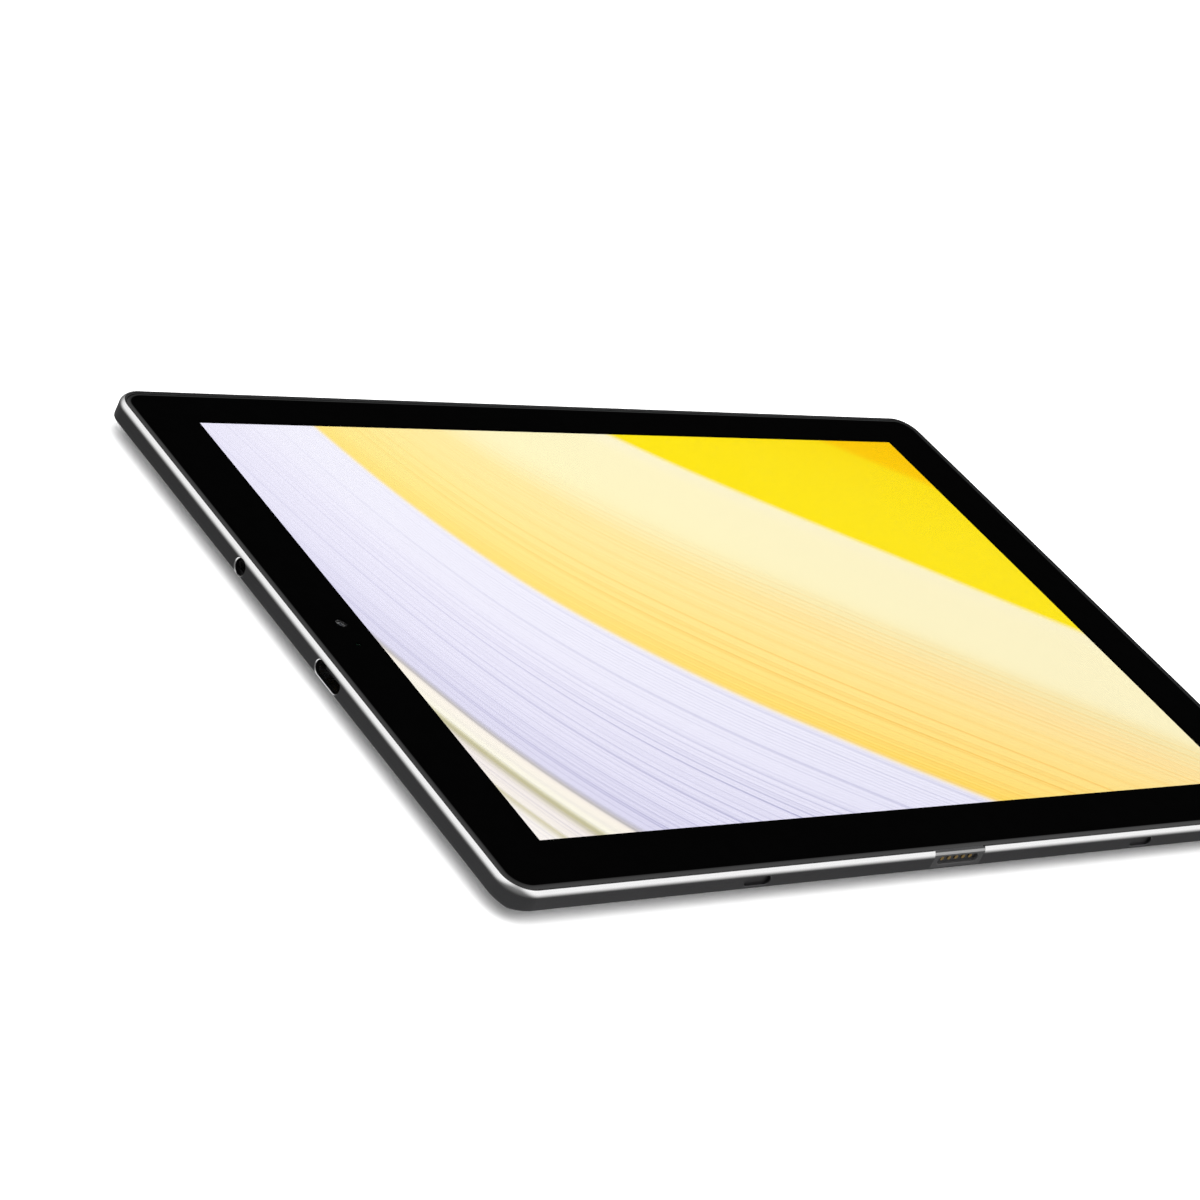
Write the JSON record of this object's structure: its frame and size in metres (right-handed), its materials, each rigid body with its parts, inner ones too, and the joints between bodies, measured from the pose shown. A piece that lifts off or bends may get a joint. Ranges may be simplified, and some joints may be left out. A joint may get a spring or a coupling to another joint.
{
  "type": "tablet computer",
  "caption": "Thin rectangular tablet computer with a glass front, a crowned metal back, a raised camera ring, side buttons, sockets and a card tray.",
  "frame": {"origin": "centre of the flat part of the back, which is the plane that the tablet lies on", "axes": "+Z the way the screen faces, +X along the long side away from the headphone and USB sockets, +Y towards the side with the buttons and the card tray"},
  "size_m": [0.2496, 0.1617, 0.008],
  "materials": {
    "anodised_metal": "satin, anodised dark grey",
    "matte_plastic_black": "fine matte",
    "frame_plastic": "matte",
    "cover_glass": "polished",
    "black_ink": "printed under glass",
    "clear_adhesive": "clear",
    "lcd": "lit picture of fanned paper",
    "white_film": "matte",
    "clear_acrylic": "clear",
    "mirror_film": "bright",
    "led_board": "soldered lamps",
    "steel": "brushed",
    "flex": "polyimide ribbon",
    "pouch": "foil pouch",
    "tape": "adhesive tape",
    "circuit_board": "solder mask",
    "chip": "moulded",
    "tin_can": "tinned sheet",
    "soft_pad": "soft",
    "port_metal": "plated",
    "port_plastic": "moulded",
    "gold": "gold plated",
    "camera_black": "matte",
    "lens_glass": "coated lens",
    "ring_metal": "turned and polished",
    "dark_glass": "tinted",
    "mesh": "woven mesh",
    "button_metal": "satin, anodised dark grey",
    "carrier_plastic": "moulded",
    "copper": "plated copper",
    "cable_jacket": "smooth jacket",
    "magnet": "nickel plated",
    "screw_steel": "black oxide"
  },
  "bodies": {
    "chassis": {"rear_shell": "anodised_metal", "antenna_cap": "matte_plastic_black", "mid_frame": "frame_plastic", "cover_glass": "cover_glass", "printed_border": "black_ink", "optical_adhesive": "clear_adhesive", "lcd_panel": "lcd", "prism_films": "white_film", "light_guide": "clear_acrylic", "reflector": "mirror_film", "led_bar": "led_board", "display_tray": "steel", "display_flex": "flex", "battery_cell_left": "pouch", "battery_cell_right": "pouch", "battery_tape": "tape", "battery_board": "circuit_board", "battery_flex": "flex", "main_board": "circuit_board", "processor": "chip", "memory_chips": "chip", "power_chip": "chip", "shield_can_upper": "tin_can", "shield_can_lower": "tin_can", "thermal_pad": "soft_pad", "usb_shell": "port_metal", "usb_tongue": "port_plastic", "usb_contacts": "gold", "jack_housing": "port_plastic", "jack_sleeve": "port_metal", "jack_springs": "gold", "front_camera": "camera_black", "front_lens": "lens_glass", "light_sensor": "camera_black", "rear_camera_ring": "ring_metal", "rear_camera_window": "dark_glass", "rear_camera_module": "camera_black", "rear_camera_lens": "lens_glass", "microphone": "tin_can", "speaker_upper": "port_plastic", "speaker_lower": "port_plastic", "speaker_mesh": "mesh", "key_flex": "flex", "key_bracket": "steel", "card_reader": "tin_can", "dock_pad": "matte_plastic_black", "dock_contacts": "gold", "dock_flex": "flex", "antenna_carriers": "carrier_plastic", "antenna_films": "copper", "antenna_cables": "cable_jacket", "magnets": "magnet", "screws": "screw_steel"},
    "power_key": {"power_button": "button_metal"},
    "volume_key": {"volume_rocker": "button_metal"},
    "tray": {"card_tray": "button_metal"}
  },
  "joints": [
    {"name": "power_press", "type": "slide", "parent": "chassis", "child": "power_key", "axis": [0, -1, 0], "range_m": [0, 0.0003], "stiffness_N_per_m": 1500},
    {"name": "volume_rock", "type": "hinge", "parent": "chassis", "child": "volume_key", "pos_m": [-0.084, 0.079, 0.00535], "axis": [0, 0, 1], "range_deg": [-1.6, 1.6], "stiffness_Nm_per_rad": 0.1},
    {"name": "tray_slide", "type": "slide", "parent": "chassis", "child": "tray", "axis": [0, 1, 0], "range_m": [0, 0.03]}
  ]
}
